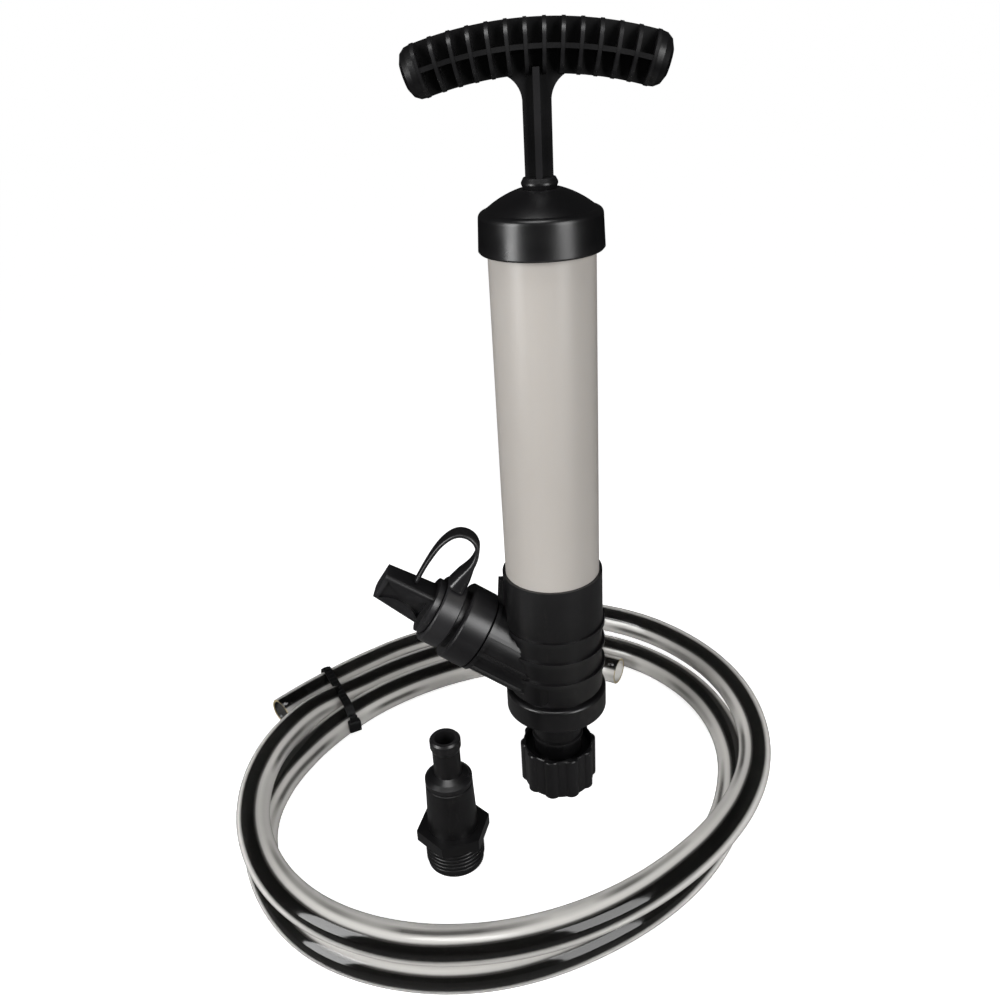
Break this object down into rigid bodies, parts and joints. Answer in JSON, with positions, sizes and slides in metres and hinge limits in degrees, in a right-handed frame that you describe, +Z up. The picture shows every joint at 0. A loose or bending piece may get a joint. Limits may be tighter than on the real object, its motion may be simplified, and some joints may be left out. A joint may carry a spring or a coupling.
{
  "type": "hand bilge pump",
  "caption": "Hand bilge pump with T-handle piston, clear barrel, valve body with plugged side spout, swivel inlet nut, hose adapter and a coil of clear hose.",
  "frame": {"origin": "centre of the swivel nut's open lower end, which the pump stands on", "axes": "+Z up along the pump's axis towards the T-handle; the side spout leaves towards -X; the handle bar lies along X"},
  "size_m": [0.2784, 0.2647, 0.3615],
  "materials": {
    "black_plastic": "satin moulded",
    "barrel_plastic": "translucent smoke grey",
    "hose_vinyl": "clear flexible vinyl",
    "seal_rubber": "matt",
    "stainless_steel": "plain",
    "flexible_plastic": "satin, flexible",
    "tie_nylon": "satin"
  },
  "bodies": {
    "pump": {"barrel": "barrel_plastic", "barrel_cap": "black_plastic", "barrel_gasket": "seal_rubber", "cable_tie": "tie_nylon", "cap_gasket": "seal_rubber", "hose_coil": "hose_vinyl", "hose_end_open": "hose_vinyl", "hose_end_rear": "hose_vinyl", "inlet_neck": "black_plastic", "inlet_ring": "black_plastic", "inlet_seat": "black_plastic", "nut_washer": "seal_rubber", "outlet_seat": "black_plastic", "rod_bush": "black_plastic", "seat_gasket": "seal_rubber", "spout_collar": "black_plastic", "tether_ring": "flexible_plastic", "tether_strap": "flexible_plastic", "tie_head": "tie_nylon", "valve_body": "black_plastic"},
    "piston": {"handle": "black_plastic", "piston_head": "black_plastic", "piston_cup": "seal_rubber", "piston_washer": "stainless_steel", "piston_screw": "stainless_steel"},
    "nut": {"swivel_nut": "black_plastic"},
    "inlet_flap": {"inlet_valve": "seal_rubber"},
    "outlet_flap": {"outlet_valve": "seal_rubber"},
    "plug": {"outlet_plug": "flexible_plastic", "plug_oring": "seal_rubber"},
    "adapter": {"hose_adapter": "black_plastic"}
  },
  "joints": [
    {"name": "handle_stroke", "type": "slide", "parent": "pump", "child": "piston", "axis": [0, 0, 1], "range_m": [0, 0.15]},
    {"name": "nut_spin", "type": "hinge", "parent": "pump", "child": "nut", "pos_m": [0, 0, 0.01], "axis": [0, 0, 1], "continuous": true},
    {"name": "plug_pull", "type": "slide", "parent": "pump", "child": "plug", "axis": [-0.829, 0, 0.5592], "range_m": [0, 0.03], "deforming": ["tether_strap"]},
    {"name": "inlet_flap_lift", "type": "slide", "parent": "pump", "child": "inlet_flap", "axis": [0, 0, 1], "range_m": [0, 0.003]},
    {"name": "outlet_flap_lift", "type": "slide", "parent": "pump", "child": "outlet_flap", "axis": [-0.829, 0, 0.5592], "range_m": [0, 0.003]},
    {"name": "adapter_lift", "type": "slide", "parent": "pump", "child": "adapter", "axis": [0, 0, 1], "range_m": [0, 0.1]}
  ]
}
